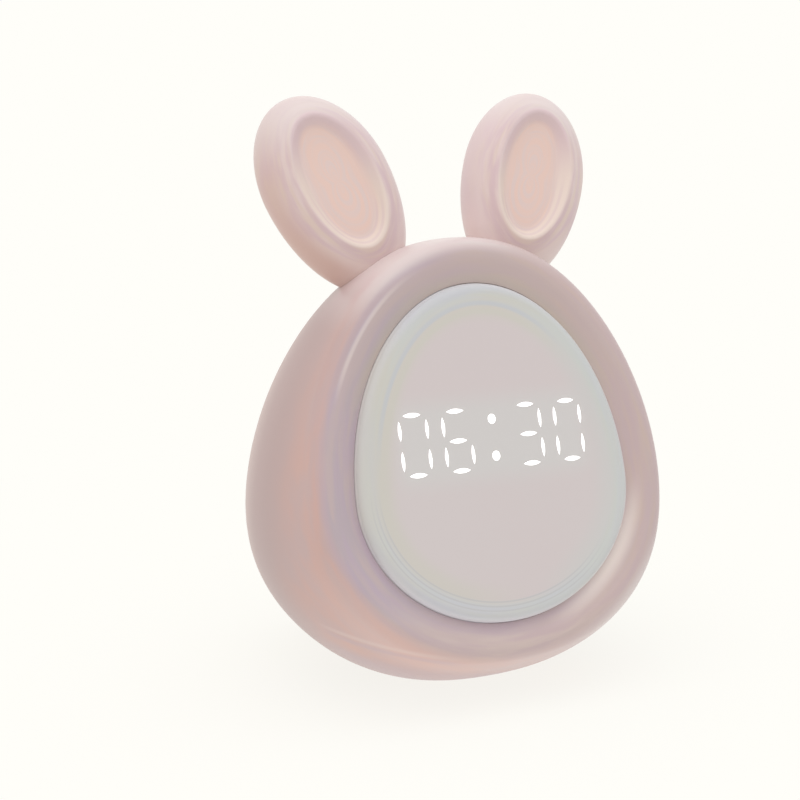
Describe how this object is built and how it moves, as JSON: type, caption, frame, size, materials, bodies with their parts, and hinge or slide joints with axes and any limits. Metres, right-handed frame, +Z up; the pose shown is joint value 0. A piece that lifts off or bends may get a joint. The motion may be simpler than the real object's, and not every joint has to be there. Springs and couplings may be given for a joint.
{
  "type": "alarm clock",
  "caption": "Egg-shaped bedside alarm clock for a child, with a tilted night-light display in a dished front, two ears and push buttons on the back.",
  "frame": {"origin": "centre of the flat base, on the surface the clock stands on", "axes": "+Z up, -Y out of the display, +X to the viewer's right when facing the display"},
  "size_m": [0.0856, 0.0711, 0.1219],
  "materials": {
    "shell_pink": "satin, pearly",
    "cover_pink": "satin, pearly",
    "ear_pink": "satin, pearly",
    "lens_white": "translucent, satin",
    "button_rose": "satin",
    "frame_white": "matte",
    "diffuser_white": "translucent, matte",
    "segment_lit": "lit",
    "segment_off": "matte",
    "board_green": "satin",
    "chip_black": "matte",
    "led_white": "gloss",
    "switch_black": "matte",
    "screw_steel": "plain",
    "socket_steel": "plain",
    "contact_brass": "plain",
    "cell_green": "shrink-wrapped",
    "cradle_black": "matte",
    "speaker_metal": "satin black",
    "speaker_paper": "matte",
    "magnet_metal": "plated",
    "pad_rubber": "matte silicone",
    "ribbon_white": "satin",
    "lead_red": "satin"
  },
  "bodies": {
    "clock": {"main_shell": "shell_pink", "rear_cover": "cover_pink", "base_pad": "pad_rubber", "ear_left": "ear_pink", "ear_right": "ear_pink", "ear_screws": "screw_steel", "display_lens": "lens_white", "diffuser": "diffuser_white", "digit_reflector": "frame_white", "digit_segments": "segment_lit", "digit_segments_off": "segment_off", "light_box": "frame_white", "display_board": "board_green", "night_leds": "led_white", "display_screws": "screw_steel", "tact_switches": "switch_black", "main_board": "board_green", "board_chips": "chip_black", "board_screws": "screw_steel", "usb_socket": "socket_steel", "speaker_frame": "speaker_metal", "speaker_cone": "speaker_paper", "speaker_magnet": "magnet_metal", "battery_cell": "cell_green", "battery_cradle": "cradle_black", "battery_contacts": "contact_brass", "cradle_screws": "screw_steel", "cover_screws": "screw_steel", "display_ribbon": "ribbon_white", "battery_leads": "lead_red"},
    "down_key": {"button_down": "button_rose", "switch_stem_down": "chip_black"},
    "mode_key": {"button_mode": "button_rose", "switch_stem_mode": "chip_black"},
    "up_key": {"button_up": "button_rose", "switch_stem_up": "chip_black"},
    "light_key": {"button_light": "button_rose", "switch_stem_light": "chip_black"}
  },
  "joints": [
    {"name": "down_press", "type": "slide", "parent": "clock", "child": "down_key", "axis": [0, 1, 0], "range_m": [-0.0005, 0], "stiffness_N_per_m": 2500, "springref_m": 0.0003},
    {"name": "mode_press", "type": "slide", "parent": "clock", "child": "mode_key", "axis": [0, 1, 0], "range_m": [-0.0005, 0], "stiffness_N_per_m": 2500, "springref_m": 0.0003},
    {"name": "up_press", "type": "slide", "parent": "clock", "child": "up_key", "axis": [0, 1, 0], "range_m": [-0.0005, 0], "stiffness_N_per_m": 2500, "springref_m": 0.0003},
    {"name": "light_press", "type": "slide", "parent": "clock", "child": "light_key", "axis": [0, 1, 0], "range_m": [-0.0005, 0], "stiffness_N_per_m": 2500, "springref_m": 0.0003}
  ]
}
